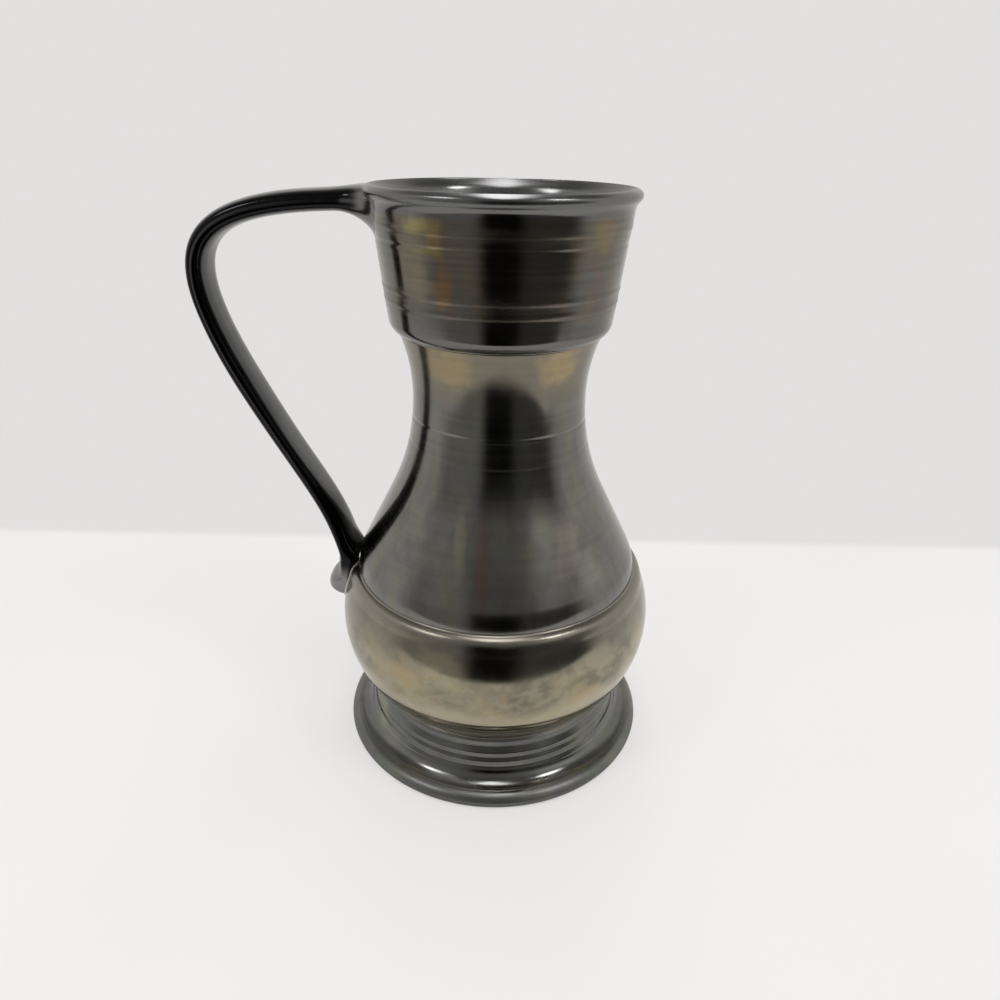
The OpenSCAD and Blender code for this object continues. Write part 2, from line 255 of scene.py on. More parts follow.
# cloudy change of gloss
def makeHazeGroup():
    tree, given, out = openGroup("glossHaze", "ShaderNodeTree", [
        ("Clear", "Float", 0.1),
        ("Dull", "Float", 0.2),
        ("Scale", "Float", 60.0),
        ("Grain", "Float", 0.5),
    ], [("Roughness", "Float")])
    cloud = noise(tree, ownPlace(tree), given["Scale"], detail=3.0)
    both = calc(tree, "MULTIPLY_ADD", calc(tree, "SUBTRACT", given["Grain"], 0.5), 0.5, cloud)
    tree.links.new(smooth(tree, both, 0.3, 0.75, given["Clear"], given["Dull"]), out["Roughness"])
    return tree


bloomGroup = makeBloomGroup()
bandGroup = makeBandGroup()
patchGroup = makePatchGroup()
wheelGroup = makeWheelGroup()
hazeGroup = makeHazeGroup()
print("shared finish groups built")


def rgba(colour):
    return (colour[0], colour[1], colour[2], 1.0)


def useGroup(tree, group, inputs):
    return put(tree, "ShaderNodeGroup", inputs, node_tree=group).outputs


# what the finishes share unless a look says otherwise
plainFinish = {"streak": 0.05, "peel": 260, "peelDepth": 0.25, "bump": 0.2, "bumpDepth": 0.1}


# one lustre finish from a piece's own look
def makeLustre(name, ownLook):
    look = {**plainFinish, **ownLook}
    mat = bpy.data.materials.new(name)
    mat.use_nodes = True
    tree = mat.node_tree
    shader = tree.nodes["Principled BSDF"]
    colour = None
    for bloom in look["blooms"]:
        colour = useGroup(tree, bloomGroup, {
            "Ground": colour if colour else rgba(look["ground"]), "Bloom": rgba(bloom["tone"]),
            "Amount": bloom["amount"], "Scale": bloom["scale"], "Run": bloom["run"],
            "Shift": bloom["shift"]})["Colour"]
    # a strap's sides get painted shade: a near-black tone standing for the dark room they mirror
    if "paintedShade" in look:
        paintedShade, paintedHighlight = look["paintedShade"], look["paintedHighlight"]
        side = calc(tree, "ABSOLUTE", attribute(tree, "strapSide"))
        colour = blendColour(tree, smooth(tree, side, *paintedShade["side"], 1.0, 0.0), colour, rgba(paintedShade["tone"]))
        # a thin painted highlight: a lighter line along the middle of each side, within a band of heights
        height = axes(tree, ownPlace(tree))[2]
        upper = smooth(tree, height, paintedHighlight["from"] * mm, paintedHighlight["to"] * mm)
        highlightMask = calc(tree, "MULTIPLY", smooth(tree, side, *paintedHighlight["side"], 1.0, 0.0), upper)
        colour = blendColour(tree, highlightMask, colour, rgba(paintedHighlight["tone"]))
    for band in look.get("bands", []):
        colour = useGroup(tree, bandGroup, {
            "Ground": colour, "Band": rgba(band["tone"]), "Amount": band["amount"],
            "Bottom": band["from"] * mm, "Top": band["to"] * mm,
            "Feather": band["feather"] * mm, "Waver": band["waver"] * mm})["Colour"]
    for patch in look.get("patches", []):
        colour = useGroup(tree, patchGroup, {
            "Ground": colour, "Patch": rgba(patch["tone"]), "Amount": patch["amount"],
            "Middle": Vector(patch["at"]) * mm, "Size": Vector(patch["size"]) * mm})["Colour"]
    for join in look.get("joins", []):
        share = smooth(tree, attribute(tree, join["by"]), join["from"], join["to"])
        colour = blendColour(tree, share, colour, rgba(join["tone"]))
    marks = useGroup(tree, wheelGroup, {
        "Lines": look["lines"], "Line Depth": look["lineDepth"],
        "Peel": look["peel"], "Peel Depth": look["peelDepth"]})
    streak = smooth(tree, marks["Grain"], 0.3, 0.7, 1 - look["streak"], 1 + look["streak"])
    tint = made(tree, "ShaderNodeCombineColor", {i: streak for i in range(3)})
    colour = blendColour(tree, 1.0, colour, tint, "MULTIPLY")
    gloss = useGroup(tree, hazeGroup, {
        "Clear": look["clear"], "Dull": look["dull"], "Scale": look["haze"], "Grain": marks["Grain"]})
    bump = put(tree, "ShaderNodeBump", {
        "Strength": look["bump"], "Distance": look["bumpDepth"] * mm, "Height": marks["Height"]})
    tree.links.new(colour, shader.inputs["Base Color"])
    rough = gloss["Roughness"]
    for soft in look.get("softer", []):
        share = useGroup(tree, bandGroup, {
            "Amount": soft["amount"], "Bottom": soft["from"] * mm, "Top": soft["to"] * mm,
            "Feather": soft["feather"] * mm})["Mask"]
        rough = calc(tree, "ADD", rough, share)
    tree.links.new(rough, shader.inputs["Roughness"])
    tree.links.new(bump.outputs[0], shader.inputs["Normal"])
    shader.inputs["Metallic"].default_value = 1.0
    return mat


# wheel: a half outline, as radius and height, turned round the jug's axis
def makeWheelTree():
    tree, given, out = openGroup("turnOnWheel", "GeometryNodeTree", [
        ("Outline", "Geometry", None),
        ("Steps Round", "Int", 256),
        ("Track Radius", "Float", 0.05),
        ("Runout", "Float", 0.00006),
        ("Glaze", "Material", None),
    ], [("Piece", "Geometry")])
    line = made(tree, "GeometryNodeMeshToCurve", {"Mesh": given["Outline"]})
    parts = axes(tree, position(tree))
    across = calc(tree, "SUBTRACT", parts[0], given["Track Radius"])
    below = calc(tree, "MULTIPLY", parts[2], -1.0)
    laid = made(tree, "ShaderNodeCombineXYZ", {0: across, 1: below})
    line = made(tree, "GeometryNodeSetPosition", {"Geometry": line, "Position": laid})
    track = circle(tree, given["Steps Round"], given["Track Radius"])
    turned = made(tree, "GeometryNodeCurveToMesh", {"Curve": track, "Profile Curve": line})
    closed = made(tree, "GeometryNodeMergeByDistance", {"Geometry": turned, "Distance": 0.000001})
    after = position(tree)
    sway = noise(tree, after, scale=14.0, detail=1.0)
    draw = calc(tree, "MULTIPLY", sway, calc(tree, "MULTIPLY", given["Runout"], -1.0))
    flat = vec(tree, "NORMALIZE", vec(tree, "MULTIPLY", after, (1.0, 1.0, 0.0)))
    offset = scaled(tree, flat, draw)
    swayed = made(tree, "GeometryNodeSetPosition", {"Geometry": closed, "Offset": offset})
    glazeForm(tree, swayed, given, out)
    return tree


wheelTree = makeWheelTree()
stepsRound = 288


def turnPiece(name, outline, closed, glaze):
    mesh = bpy.data.meshes.new(name + "Outline")
    edges = [(i, i + 1) for i in range(len(outline) - 1)]
    if closed:
        edges.append((len(outline) - 1, 0))
    mesh.from_pydata([(r * mm, 0, z * mm) for r, z in outline], edges, [])
    return bake(name, mesh, wheelTree, {"Steps Round": stepsRound, "Glaze": glaze})


# outlines are in millimetres, as radius and height
def arc(cx, cz, r, a, b, steps):
    spots = []
    for i in range(steps + 1):
        t = math.radians(a + (b - a) * i / steps)
        spots.append((cx + r * math.cos(t), cz + r * math.sin(t)))
    return spots


# carries an outline on round an arc, from one outward angle to the next; below nought the arc is hollow
def bend(spots, r, a, b, steps=12):
    x, z = spots[-1]
    cx, cz = x - r * math.cos(math.radians(a)), z - r * math.sin(math.radians(a))
    return spots + arc(cx, cz, r, a, b, steps)[1:]


def ridge(wall, z, height, half, steps=12):
    spots = []
    for i in range(-steps, steps + 1):
        u = z + half * i / steps
        spots.append((wall(u) + height * (1 + math.cos(math.pi * i / steps)) / 2, u))
    return spots


def wallRun(wall, z0, z1, steps):
    return [(wall(z0 + (z1 - z0) * i / steps), z0 + (z1 - z0) * i / steps) for i in range(steps + 1)]


clay = {"wall": 5.4, "slip": 0.8, "slipProud": 0.4, "bead": 2.5, "fine": 0.14, "lineHalf": 1.4, "gap": 0.3,
        "fineGap": 0.2}

# bowl: the round belly and the floor of the jug
bowl = {
    "foot": 24.0, "height": 51.8, "wide": 125.4, "bellyRadius": 41.5, "shoulderIn": 4.8, "beadStep": 0.6,
    "seat": 2.0, "seatRise": 0.05, "under": 25, "inStep": 0.4, "floor": 6.0,
    "floorDip": [(30, 0.3), (12, 0.5), (0, 0.5)],  # radius and dip
    "look": {
        "ground": (0.27, 0.242, 0.18),
        "blooms": [
            {"tone": (0.4, 0.32, 0.18), "amount": 0.85, "scale": 45, "run": 0.9, "shift": 0.13},
            {"tone": (0.17, 0.155, 0.12), "amount": 0.75, "scale": 85, "run": 1.2, "shift": 0.41},
            {"tone": (0.36, 0.34, 0.25), "amount": 0.6, "scale": 190, "run": 1.2, "shift": 0.83},
        ],
        "bands": [
            {"tone": (0.2, 0.19, 0.165), "amount": 0.7, "from": 62, "to": 90, "feather": 6, "waver": 16},
            {"tone": (0.57, 0.495, 0.35), "amount": 0.75, "from": 10, "to": 46, "feather": 6, "waver": 8},
            {"tone": (0.27, 0.252, 0.212), "amount": 0.75, "from": 72.4, "to": 78,
             "feather": 0.9, "waver": 0.8},
        ],
        "patches": [
            {"tone": (0.42, 0.37, 0.27), "amount": 0.6, "at": (-20, -57, 66), "size": (10, 14, 5)},
            {"tone": (0.4, 0.36, 0.27), "amount": 0.5, "at": (36, -48, 62), "size": (10, 14, 8)},
        ],
        "softer": [
            {"amount": -0.06, "from": 10, "to": 46, "feather": 5},
            {"amount": 0.13, "from": 72, "to": 80, "feather": 1},
        ],
        "streak": 0.03, "lines": 420, "lineDepth": 0.12, "clear": 0.12, "dull": 0.21, "haze": 70,
    },
}
bowl["top"] = bowl["foot"] + bowl["height"]
bowl["beadFoot"] = bowl["top"] - clay["bead"]
bowl["cx"] = bowl["wide"] / 2 - bowl["bellyRadius"]
drawnIn = bowl["bellyRadius"] - bowl["shoulderIn"]
bowl["cz"] = bowl["beadFoot"] - math.sqrt(bowl["bellyRadius"] ** 2 - drawnIn ** 2)
bowl["inRadius"] = bowl["bellyRadius"] - clay["wall"] + bowl["inStep"]
bowl["shoulder"] = bowl["wide"] / 2 - bowl["shoulderIn"] - bowl["beadStep"]


def bowlWall(z):
    return bowl["cx"] + math.sqrt(bowl["bellyRadius"] ** 2 - (z - bowl["cz"]) ** 2)


# the outward angle of the belly's arc at a height
def bellyAngle(z, r):
    return math.degrees(math.asin((z - bowl["cz"]) / r))


def bowlOutline():
    r, cx, cz, inner = bowl["bellyRadius"], bowl["cx"], bowl["cz"], bowl["inRadius"]
    floorZ = bowl["foot"] + bowl["floor"]
    low, high = bellyAngle(bowl["foot"], r), bellyAngle(bowl["beadFoot"], r)
    spots = [(0, bowl["foot"]), (bowl["under"], bowl["foot"])] + arc(cx, cz, r, low, high, 90)
    seatR = bowl["shoulder"] - bowl["seat"]
    spots += [(seatR, bowl["beadFoot"] + bowl["seatRise"]), (seatR, bowl["top"])]
    spots += arc(cx, cz, inner, bellyAngle(bowl["top"], inner), bellyAngle(floorZ, inner), 60)
    return spots + [(r, floorZ - dip) for r, dip in bowl["floorDip"]]


bowlLustre = makeLustre("bowlLustre", bowl["look"])
settle(turnPiece("turnedBowl", bowlOutline(), False, bowlLustre), "bowl")

# neck: the sloping shoulder and the drawn-in neck
neck = {
    "height": 93.7, "waist": 63.7, "waistUp": 70.2, "hollow": 0.771, "spread": 4.63,
    "lineDrop": 8.3, "lineGap": 9.0, "lowCut": 0.6, "highCut": 1.1,
    "tuck": 1.85, "tuckHeight": 8.0, "tuckGap": 0.4, "seat": 1.0, "inFillet": 8.0,
    "look": {
        "ground": (0.185, 0.183, 0.172),
        "blooms": [
            {"tone": (0.2, 0.165, 0.155), "amount": 0.45, "scale": 120, "run": 0.12, "shift": 0.27},
            {"tone": (0.205, 0.21, 0.155), "amount": 0.5, "scale": 150, "run": 0.1, "shift": 0.62},
            {"tone": (0.13, 0.125, 0.12), "amount": 0.4, "scale": 210, "run": 0.2, "shift": 0.9},
        ],
        "bands": [
            {"tone": (0.195, 0.174, 0.133), "amount": 0.85, "from": 152, "to": 175,
             "feather": 5, "waver": 18},
        ],
        "patches": [
            {"tone": (0.32, 0.25, 0.14), "amount": 0.7, "at": (-18, -28, 163), "size": (11, 14, 11)},
            {"tone": (0.34, 0.27, 0.16), "amount": 0.9, "at": (20, -27, 164), "size": (10, 14, 9)},
            {"tone": (0.2, 0.2, 0.17), "amount": 0.7, "at": (-12, -30, 137), "size": (6, 9, 9)},
            {"tone": (0.22, 0.13, 0.11), "amount": 0.65, "at": (-4.5, -46, 97), "size": (4, 14, 18)},
            {"tone": (0.27, 0.25, 0.19), "amount": 0.75, "at": (-12.5, -42, 101), "size": (3, 14, 18)},
            {"tone": (0.21, 0.205, 0.15), "amount": 0.6, "at": (12, -45, 96), "size": (3, 14, 14)},
            {"tone": (0.28, 0.245, 0.215), "amount": 0.75, "at": (25, -38, 98), "size": (6, 14, 20)},
            {"tone": (0.27, 0.268, 0.232), "amount": 0.6, "at": (31, -38, 88), "size": (9, 16, 14)},
        ],
        "lines": 520, "lineDepth": 0.15, "peelDepth": 0.2, "clear": 0.13, "dull": 0.2, "haze": 60,
    },
}
neck["foot"] = bowl["top"]
neck["top"] = neck["foot"] + neck["height"]
neck["waistZ"] = neck["foot"] + neck["waistUp"]
fall = bowl["shoulder"] - neck["waist"] / 2
neck["lowCurve"] = neck["hollow"] * (neck["waistUp"] ** 2 + fall ** 2) / (2 * fall)
neck["highCurve"] = ((neck["top"] - neck["waistZ"]) ** 2 + neck["spread"] ** 2) / (2 * neck["spread"])
toCurve = Vector((neck["waist"] / 2 + neck["lowCurve"] - bowl["shoulder"], neck["waistUp"]))
slope = math.atan2(toCurve.y, toCurve.x) + math.asin(neck["lowCurve"] / toCurve.length)
straight = math.sqrt(toCurve.length ** 2 - neck["lowCurve"] ** 2)
neck["touch"] = (bowl["shoulder"] + straight * math.cos(slope), neck["foot"] + straight * math.sin(slope))


def neckWall(z):
    touchR, touchZ = neck["touch"]
    if z < touchZ:
        return bowl["shoulder"] + (touchR - bowl["shoulder"]) * (z - neck["foot"]) / (touchZ - neck["foot"])
    curve = neck["lowCurve"] if z < neck["waistZ"] else neck["highCurve"]
    return neck["waist"] / 2 + curve - math.sqrt(curve ** 2 - (z - neck["waistZ"]) ** 2)


def tuckedWall(z):
    return neckWall(z) - neck["tuck"] * max(0, 1 - (z - neck["foot"]) / neck["tuckHeight"]) ** 2


def neckOutline():
    highZ, half, gap = neck["waistZ"] - neck["lineDrop"], clay["lineHalf"], clay["gap"]
    lowZ = highZ - neck["lineGap"]
    tuckTop = neck["foot"] + neck["tuckHeight"]
    spots = wallRun(tuckedWall, neck["foot"], tuckTop, 40)
    spots += wallRun(neckWall, tuckTop + neck["tuckGap"], lowZ - half - gap, 90)
    spots += ridge(neckWall, lowZ, -neck["lowCut"] * clay["fine"], half)
    spots += wallRun(neckWall, lowZ + half + gap, highZ - half - gap, 14)
    spots += ridge(neckWall, highZ, -neck["highCut"] * clay["fine"], half)
    spots += wallRun(neckWall, highZ + half + gap, neck["top"] - clay["slip"], 60)
    seatR = neckWall(neck["top"]) - neck["seat"]
    spots += [(seatR, neck["top"] - clay["slip"]), (seatR, neck["top"])]
    bowlIn = bowl["cx"] + math.sqrt(bowl["inRadius"] ** 2 - (bowl["top"] - bowl["cz"]) ** 2)
    for i in range(49):
        z = neck["top"] - neck["height"] * i / 48
        inside = neckWall(z) - clay["wall"]
        low = max(0, 1 - (z - neck["foot"]) / neck["inFillet"])
        spots.append((inside + (bowlIn - inside) * low * low, z))
    return spots


neckLustre = makeLustre("neckLustre", neck["look"])
settle(turnPiece("turnedNeck", neckOutline(), True, neckLustre), "neck")

# collar: the flared collar with its turned lines and rolled rim
collar = {
    "height": 46.5, "step": 1.0, "flare": 4.35, "edge": 3.6, "edgeRadius": 5.6, "rim": 7.0, "topGap": 0.05,
    "lowLine": 7.7, "lowGap": 4.2, "highLine": 4.4, "cut": 4.8,
    "throat": 6.0, "throatStep": 0.8, "throatDrop": 4.0,
    "mouth": [(2.8, 4.9), (2, 3.4), (1.3, 1.2), (0.8, -2)],  # inside the rim, as steps out and up
    "look": {
        "ground": (0.145, 0.132, 0.115),
        "blooms": [
            {"tone": (0.2, 0.165, 0.11), "amount": 0.5, "scale": 70, "run": 0.5, "shift": 0.35},
            {"tone": (0.13, 0.135, 0.12), "amount": 0.6, "scale": 90, "run": 0.3, "shift": 0.77},
            {"tone": (0.19, 0.14, 0.105), "amount": 0.4, "scale": 160, "run": 0.5, "shift": 0.08},
        ],
        "bands": [
            {"tone": (0.17, 0.17, 0.172), "amount": 0.9, "from": 208.8, "to": 230,
             "feather": 0.8, "waver": 1},
            {"tone": (0.155, 0.152, 0.148), "amount": 0.7, "from": 160, "to": 178,
             "feather": 2.5, "waver": 2},
        ],
        "patches": [
            {"tone": (0.4, 0.34, 0.14), "amount": 0.55, "at": (-24, -37, 206), "size": (9, 12, 3.2)},
            {"tone": (0.3, 0.2, 0.08), "amount": 0.5, "at": (-20, -38, 203), "size": (4, 9, 6)},
            {"tone": (0.34, 0.28, 0.12), "amount": 0.4, "at": (-23, -36, 199), "size": (7, 9, 2)},
            {"tone": (0.3, 0.17, 0.07), "amount": 0.55, "at": (-17.5, -38, 189), "size": (3.4, 9, 9)},
            {"tone": (0.24, 0.19, 0.13), "amount": 0.4, "at": (-26, -33, 189), "size": (5, 9, 10)},
            {"tone": (0.26, 0.19, 0.1), "amount": 0.5, "at": (31, -31, 204), "size": (7, 9, 7)},
            {"tone": (0.12, 0.135, 0.14), "amount": 0.6, "at": (24, -33, 188), "size": (7, 9, 8)},
        ],
        "softer": [
            {"amount": 0.1, "from": 212, "to": 230, "feather": 2},
            {"amount": 0.09, "from": 202.6, "to": 206.6, "feather": 1.2},
            {"amount": 0.09, "from": 179.4, "to": 186.6, "feather": 1.2},
        ],
        "streak": 0.1, "lines": 900, "lineDepth": 0.25, "peelDepth": 0.2,
        "bump": 0.22, "clear": 0.12, "dull": 0.2, "haze": 60,
    },
}
collar["foot"] = neck["top"]
collar["top"] = collar["foot"] + collar["height"]
coneLow, coneHigh = collar["foot"] + collar["edge"], collar["top"] - collar["rim"]
coneLean = math.atan(collar["flare"] / (coneHigh - coneLow))
edgeTurn = -math.asin(collar["edge"] / collar["edgeRadius"] + math.sin(coneLean))
edgeR = neckWall(neck["top"]) + collar["step"] - collar["edgeRadius"] * math.cos(edgeTurn)
edgeZ = coneLow + collar["edgeRadius"] * math.sin(coneLean)
lean = math.degrees(coneLean)

# the rim as arcs: hollow, underside, face, bevel and edge, each with its radius and outward angles
collar["lip"] = [(-4.4, -lean, -45), (3.4, -45, -21), (1.6, -21, 38), (3.2, 38, 70), (0.6, 70, 165)]


def collarWall(z):
    share = (z - coneLow) / (coneHigh - coneLow)
    return edgeR + collar["edgeRadius"] * math.cos(coneLean) + collar["flare"] * share


def throatWall(z):
    return collarWall(z) - clay["wall"] + collar["throatStep"]


def collarOutline():
    half, line, gap, fineGap = (clay[k] for k in ("lineHalf", "fine", "gap", "fineGap"))
    lip = [(0, 0)]
    for r, a, b in collar["lip"]:
        lip = bend(lip, r, a, b, 16)
    lipZ = collar["top"] - collar["topGap"] - max(z for r, z in lip)
    spots = arc(edgeR, edgeZ, collar["edgeRadius"], math.degrees(edgeTurn), -lean, 30)
    marks = [(coneLow + collar["lowLine"], line), (coneLow + collar["lowLine"] + collar["lowGap"], line),
             (coneHigh - collar["highLine"] - collar["cut"], -line), (coneHigh - collar["highLine"], line)]
    z = coneLow
    for place, rise in marks:
        steps = max(2, int((place - half - z) * 1.5))
        spots += wallRun(collarWall, z + gap, place - half - fineGap, steps)
        spots += ridge(collarWall, place, rise, half)
        z = place + half
    spots += wallRun(collarWall, z + fineGap, lipZ - fineGap, 4)
    spots += [(collarWall(lipZ) + r, lipZ + z) for r, z in lip]
    inside = collarWall(coneHigh) - clay["wall"]
    spots += [(inside + r, coneHigh + z) for r, z in collar["mouth"]]
    spots += wallRun(throatWall, coneHigh - collar["throatDrop"], collar["foot"] + collar["throat"], 30)
    spots.append((neckWall(neck["top"]) - clay["wall"], neck["top"]))
    return spots


collarLustre = makeLustre("collarLustre", collar["look"])
settle(turnPiece("turnedCollar", collarOutline(), True, collarLustre), "collar")

# foot: the spreading foot, open underneath
foot = {
    "height": 24.0, "over": 0.1, "rest": 9.8, "wall": 10.3, "rimLow": 2.2, "rimHigh": 5.0,
    "coveRadius": 6.8, "coveR": 59.5, "coveZ": 12.6, "coveEnd": 22,
    "steps": [(31, 1.65), (12, 1.95), (31, 1.78), (-54, 1.36), (12, 1.78),
              (31, 3.0), (-45, 1.84), (12, 1.6), (40, 0.9)],
    "edge": [(1.2, 0.2), (2.0, 0.0)], "overlap": 2.0,  # the upper edge, as steps in and down
    "look": {
        "ground": (0.16, 0.16, 0.157),
        "blooms": [
            {"tone": (0.17, 0.19, 0.155), "amount": 0.6, "scale": 50, "run": 0.6, "shift": 0.51},
            {"tone": (0.25, 0.23, 0.19), "amount": 0.4, "scale": 80, "run": 0.6, "shift": 0.22},
        ],
        "patches": [{"tone": (0.3, 0.28, 0.19), "amount": 0.5, "at": (-46, -24, 15), "size": (4, 10, 9)}],
        "softer": [
            {"amount": 0.2, "from": -5, "to": 6.0, "feather": 0.5},
            {"amount": 0.04, "from": -5, "to": 9.5, "feather": 0.6},
        ],
        "streak": 0.12, "lines": 600, "lineDepth": 0.4, "clear": 0.1, "dull": 0.17, "haze": 80,
    },
}


# the stem's steps are flats, each with its outward angle and its run; below nought it leads back out
def footOutline():
    footR = bowl["wide"] / 2 + foot["over"]
    low = foot["rimLow"]
    spots = [(footR - foot["rest"], 0)] + arc(footR - low, low, low, -90, 30, 24)
    spots = bend(spots, foot["rimHigh"], 30, 80, 24)
    spots += arc(foot["coveR"], foot["coveZ"], foot["coveRadius"], 265, 180 + foot["coveEnd"], 30)
    for angle, run in foot["steps"]:
        r, z = spots[-1]
        t = math.radians(angle)
        spots += [(r - run * math.sin(t) * i / 8, z + run * math.cos(t) * i / 8) for i in range(1, 9)]
    r, z = spots[-1]
    spots += [(r - back, foot["height"] - down) for back, down in foot["edge"]]
    return spots + [(r - foot["wall"] + foot["overlap"], foot["height"])]


footLustre = makeLustre("footLustre", foot["look"])
settle(turnPiece("turnedFoot", footOutline(), True, footLustre), "foot")

# slip: the raised seams where the sections are luted
seam = {
    "footIn": 3.5, "collarIn": 1.7, "beadIn": 3.0,
    "swell": 0.5, "from": 69.3, "to": 73.5, "under": 0.003,
    "crown": 3.4, "crownEnd": 76, "hollow": 1.1, "hollowEnd": 15, "lap": 0.3,
    "look": {
        "ground": (0.22, 0.212, 0.19),
        "blooms": [{"tone": (0.3, 0.275, 0.22), "amount": 0.6, "scale": 90, "run": 1.0, "shift": 0.4}],
        "lines": 500, "lineDepth": 0.3, "peel": 300, "peelDepth": 0.3,
        "clear": 0.12, "dull": 0.22, "haze": 90,
    },
}
seamLustre = makeLustre("seamLustre", seam["look"])


def seamOutline(inner, outer, z, thick):
    edge = outer + clay["slipProud"] - thick / 2
    spots = [(inner, z), (edge, z)] + arc(edge, z + thick / 2, thick / 2, -80, 80, 24)
    return spots + [(edge, z + thick), (inner, z + thick)]


# the shoulder's bead swells out of the bowl, rounds over and sweeps up in a small hollow onto the neck
def swellWall(z):
    t = (z - seam["from"]) / (seam["to"] - seam["from"])
    return bowlWall(z) - seam["under"] + seam["swell"] * t * t * (3 - 2 * t)


def beadOutline():
    inner = bowl["shoulder"] - seam["beadIn"]
    start = bellyAngle(seam["to"], bowl["bellyRadius"])
    spots = [(inner, seam["from"])] + wallRun(swellWall, seam["from"], seam["to"], 30)
    spots = bend(spots, seam["crown"], start, seam["crownEnd"], 24)
    spots = bend(spots, -seam["hollow"], seam["crownEnd"], seam["hollowEnd"], 16)
    return spots + [(inner, spots[-1][1] + seam["lap"])]


footInner = bowlWall(bowl["foot"]) - seam["footIn"]
footOuter = bowlWall(bowl["foot"] + clay["slip"])
collarOuter = neckWall(neck["top"])
collarInner = collarOuter - seam["collarIn"]
footRing = seamOutline(footInner, footOuter, bowl["foot"], clay["slip"])
collarRing = seamOutline(collarInner, collarOuter, neck["top"] - clay["slip"], clay["slip"])
shoulderRing = beadOutline()
settle(turnPiece("footSeam", footRing, True, seamLustre), "foot_slip")
settle(turnPiece("shoulderSeam", shoulderRing, True, bowlLustre), "shoulder_slip")
settle(turnPiece("collarSeam", collarRing, True, seamLustre), "collar_slip")

# handle: a strap pulled along its middle line, drawn out where it meets the jug, with a pressed heel below
handle = {
    "width": 17.5, "thick": 7.4, "reach": 107.99, "drop": 5.2, "kneeDrop": 31.5, "square": 0.75, "sides": 64,
    "start": 0.6, "sink": 0.12, "footSink": 0.6, "footLift": 1.0,
    "topShare": 0.7, "topLift": 0.2, "kneeShare": 0.76, "backShare": 0.27, "footShare": 0.96,
    "topRun": 12.0, "topDeep": 8.5, "topHigh": 1.5, "highRun": 16.0, "rimGap": 0.4,
    "sideRun": 9.0, "topWide": 9.0, "wrapRun": 8.0,
    "footWide": 1.6, "wideRun": 14.0, "footDeep": 4.0, "footRun": 9.0,
    "upperZ": 174.0, "upperRun": 20.0, "upperIn": 0.45, "upperSlim": 0.6,
    "lowerZ": 121.0, "lowerRun": 20.0, "lowerOut": 0.4, "lowerSlim": 0.8,
    "dipZ": 77.5, "dipRun": 7.0, "dip": 0.95,
    "heelZ": 63.4, "heelOut": 6.2, "heelUp": 5.4, "heelDown": 5.6, "heelWall": 62.6, "heelBlend": 2.4,
    "heelSteps": 44, "heelPace": 1.7, "heelShift": 1.3, "heelSlim": 0.35, "tip": 0.1, "tipDeep": 0.3,
    "look": {
        "ground": (0.1, 0.1, 0.101),
        "blooms": [
            {"tone": (0.11, 0.105, 0.095), "amount": 0.5, "scale": 60, "run": 0.3, "shift": 0.3},
            {"tone": (0.06, 0.06, 0.065), "amount": 0.5, "scale": 90, "run": 0.4, "shift": 0.7},
        ],
        # painted shade: the strap's sides in near black, for the dark room they mirror
        "paintedShade": {"tone": (0.018, 0.018, 0.02), "side": (0.45, 0.85)},
        # painted highlight: a thin light line along the middle of each side, between 106 and 124 mm up
        "paintedHighlight": {"tone": (0.13, 0.13, 0.132), "side": (0.02, 0.12), "from": 106, "to": 124},
        "bands": [
            # painted shade: the strap between 79 and 104 mm up in near black, for the dark room it mirrors
            {"tone": (0.01, 0.01, 0.011), "amount": 0.93, "from": 79, "to": 104, "feather": 7, "waver": 3},
            {"tone": (0.26, 0.26, 0.254), "amount": 0.9, "from": 40, "to": 72, "feather": 4, "waver": 3},
        ],
        "joins": [{"by": "wrap", "from": 0.05, "to": 0.6, "tone": (0.17, 0.168, 0.16)}],
        "lines": 150, "lineDepth": 0.15, "bump": 0.18, "clear": 0.1, "dull": 0.19, "haze": 70,
    },
}
halfThick, halfWide = handle["thick"] / 2, handle["width"] / 2
strapTop = Vector((-collarWall(collar["top"] - handle["drop"]), 0, collar["top"] - handle["drop"]))
knee = Vector((-handle["reach"] + halfThick, 0, collar["top"] - handle["kneeDrop"]))
strapFoot = Vector((-bowl["shoulder"] - halfThick + handle["footSink"], 0, neck["foot"] + handle["footLift"]))
topPull = Vector((strapTop.x + handle["topShare"] * (knee.x - strapTop.x), 0, strapTop.z + handle["topLift"]))
kneePull = Vector((0, 0, handle["kneeShare"] * (strapTop.z - knee.z)))
backPull = Vector((0, 0, handle["backShare"] * (knee.z - strapFoot.z)))


def bezier(p, t):
    u = 1 - t
    return p[0] * u ** 3 + p[1] * (3 * t * u ** 2) + p[2] * (3 * t * t * u) + p[3] * t ** 3


def softMax(a, b, blend):
    h = max(0, min(1, 0.5 + 0.5 * (a - b) / blend))
    return b + (a - b) * h + blend * h * (1 - h)


# a quarter round that starts at the wall and runs out along the strap
def fillet(gap, run):
    share = max(0, 1 - max(0, gap + handle["sink"]) / run)
    return 1 - math.sqrt(1 - share * share)


# a soft hump round one height
def hump(z, middle, run):
    return math.exp(-((z - middle) / run) ** 2)


# falls from one to nought over a run
def fade(gap, run):
    return max(0, 1 - max(0, gap) / run) ** 2


# the strap dips in a little over its heel
def strapDip(z):
    return handle["dip"] * hump(z, handle["dipZ"], handle["dipRun"])


